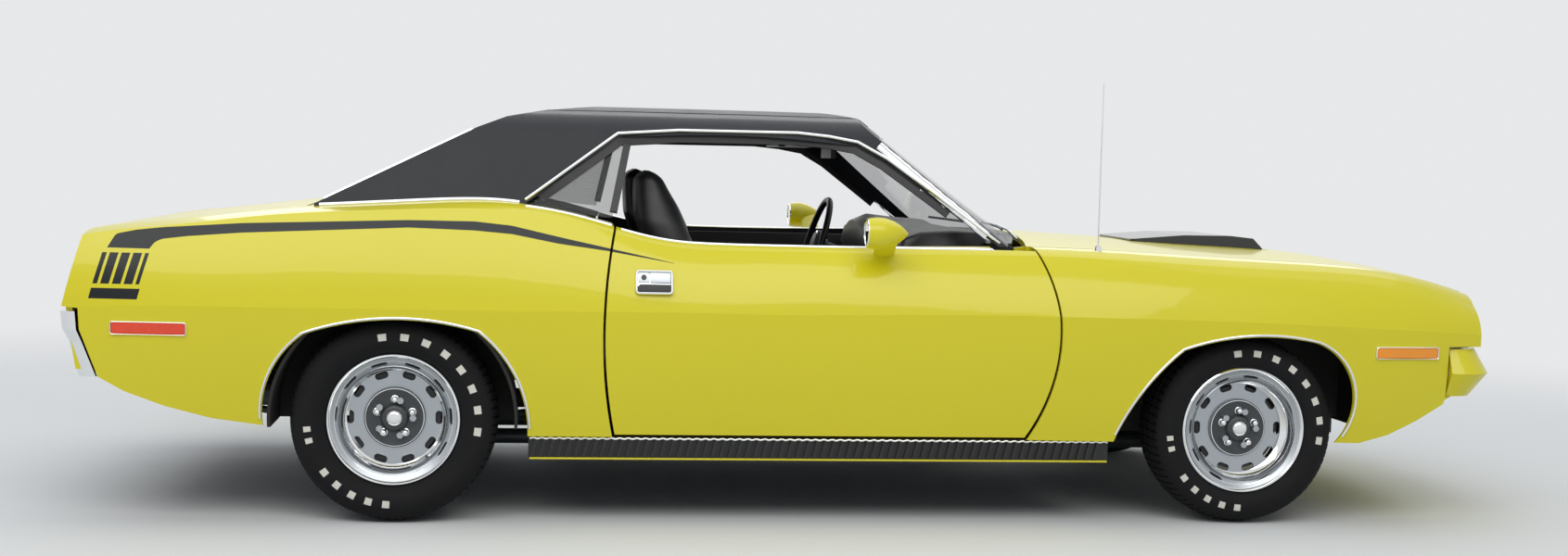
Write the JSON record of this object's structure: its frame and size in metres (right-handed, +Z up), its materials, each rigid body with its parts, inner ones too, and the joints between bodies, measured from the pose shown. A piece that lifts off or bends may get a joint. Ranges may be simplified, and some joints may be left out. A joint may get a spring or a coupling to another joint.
{
  "type": "muscle car",
  "caption": "A two-door hardtop muscle car in yellow with a black vinyl roof, an engine scoop through the hood, slotted road wheels and a dark side stripe.",
  "frame": {"origin": "on the ground at mid length, on the car's centre line", "axes": "+X towards the nose, +Y to the car's left, +Z up"},
  "size_m": [4.742, 2.004, 1.432],
  "materials": {
    "body_paint": "gloss",
    "roof_vinyl": "matte grain",
    "window_glass": "clear",
    "chrome": "polished",
    "rim_steel": "satin",
    "tyre_rubber": "matte",
    "black_plastic": "matte",
    "red_lens": "gloss",
    "amber_lens": "gloss",
    "seat_leather": "satin",
    "cast_metal": "as cast",
    "mirror_glass": "polished"
  },
  "bodies": {
    "body": {"antenna": "chrome", "back_panel": "body_paint", "cowl": "body_paint", "dash": "black_plastic", "door_hinges": "chrome", "driveline": "cast_metal", "engine": "cast_metal", "exhaust": "rim_steel", "floor_pan": "body_paint", "front_backs": "seat_leather", "front_bumper": "body_paint", "front_cushions": "seat_leather", "front_fenders": "body_paint", "front_markers": "amber_lens", "front_structure": "body_paint", "front_suspension": "cast_metal", "front_valance": "body_paint", "fuel_tank": "cast_metal", "grille": "black_plastic", "head_lamps": "chrome", "inside_mirror": "mirror_glass", "leaf_springs": "cast_metal", "quarter_panels": "body_paint", "radiator": "black_plastic", "rear_axle": "cast_metal", "rear_back": "seat_leather", "rear_bumper": "chrome", "rear_cushion": "seat_leather", "rear_markers": "red_lens", "rocker_trim": "black_plastic", "roof": "roof_vinyl", "scoop": "black_plastic", "steering_column": "cast_metal", "tail_lamps": "red_lens", "tail_panel": "body_paint", "wheelhouses": "body_paint", "window_glass": "window_glass"},
    "hood": {"hood": "body_paint"},
    "decklid": {"decklid": "body_paint"},
    "door_right": {"door_right": "body_paint", "mirror_right": "body_paint", "handle_right": "chrome"},
    "door_left": {"door_left": "body_paint", "mirror_left": "body_paint", "handle_left": "chrome"},
    "steering_wheel": {"steering_wheel": "black_plastic"},
    "knuckle_right": {"knuckle_right": "cast_metal"},
    "knuckle_left": {"knuckle_left": "cast_metal"},
    "wheel_front_right": {"rim_front_right": "rim_steel", "tyre_front_right": "tyre_rubber"},
    "wheel_front_left": {"rim_front_left": "rim_steel", "tyre_front_left": "tyre_rubber"},
    "wheel_rear_right": {"rim_rear_right": "rim_steel", "tyre_rear_right": "tyre_rubber"},
    "wheel_rear_left": {"rim_rear_left": "rim_steel", "tyre_rear_left": "tyre_rubber"}
  },
  "joints": [
    {"name": "door_right_hinge", "type": "hinge", "parent": "body", "child": "door_right", "pos_m": [0.581, -0.88, 0.55], "axis": [0, 0, 1], "range_deg": [0, 65]},
    {"name": "door_left_hinge", "type": "hinge", "parent": "body", "child": "door_left", "pos_m": [0.581, 0.88, 0.55], "axis": [0, 0, -1], "range_deg": [0, 65]},
    {"name": "hood_hinge", "type": "hinge", "parent": "body", "child": "hood", "pos_m": [0.658, 0, 0.878], "axis": [0, -1, 0], "range_deg": [0, 50]},
    {"name": "decklid_hinge", "type": "hinge", "parent": "body", "child": "decklid", "pos_m": [-1.519, 0, 0.942], "axis": [0, 1, 0], "range_deg": [0, 60]},
    {"name": "steer_right", "type": "hinge", "parent": "body", "child": "knuckle_right", "pos_m": [1.394, -0.7, 0.31], "axis": [0, 0, 1], "range_deg": [-30, 30]},
    {"name": "steer_left", "type": "hinge", "parent": "body", "child": "knuckle_left", "pos_m": [1.394, 0.7, 0.31], "axis": [0, 0, 1], "range_deg": [-30, 30]},
    {"name": "steering_wheel_turn", "type": "hinge", "parent": "body", "child": "steering_wheel", "pos_m": [0.131, 0.385, 0.838], "axis": [-0.9563, 0, 0.2924], "range_deg": [-480, 480]},
    {"name": "wheel_front_right_spin", "type": "hinge", "parent": "knuckle_right", "child": "wheel_front_right", "pos_m": [1.394, -0.761, 0.31], "axis": [0, 1, 0], "continuous": true},
    {"name": "wheel_front_left_spin", "type": "hinge", "parent": "knuckle_left", "child": "wheel_front_left", "pos_m": [1.394, 0.761, 0.31], "axis": [0, 1, 0], "continuous": true},
    {"name": "wheel_rear_right_spin", "type": "hinge", "parent": "body", "child": "wheel_rear_right", "pos_m": [-1.349, -0.771, 0.322], "axis": [0, 1, 0], "continuous": true},
    {"name": "wheel_rear_left_spin", "type": "hinge", "parent": "body", "child": "wheel_rear_left", "pos_m": [-1.349, 0.771, 0.322], "axis": [0, 1, 0], "continuous": true}
  ],
  "couplings": [
    {"joint": "steer_left", "follows": "steer_right", "ratio": 1},
    {"joint": "steering_wheel_turn", "follows": "steer_right", "ratio": 16}
  ]
}
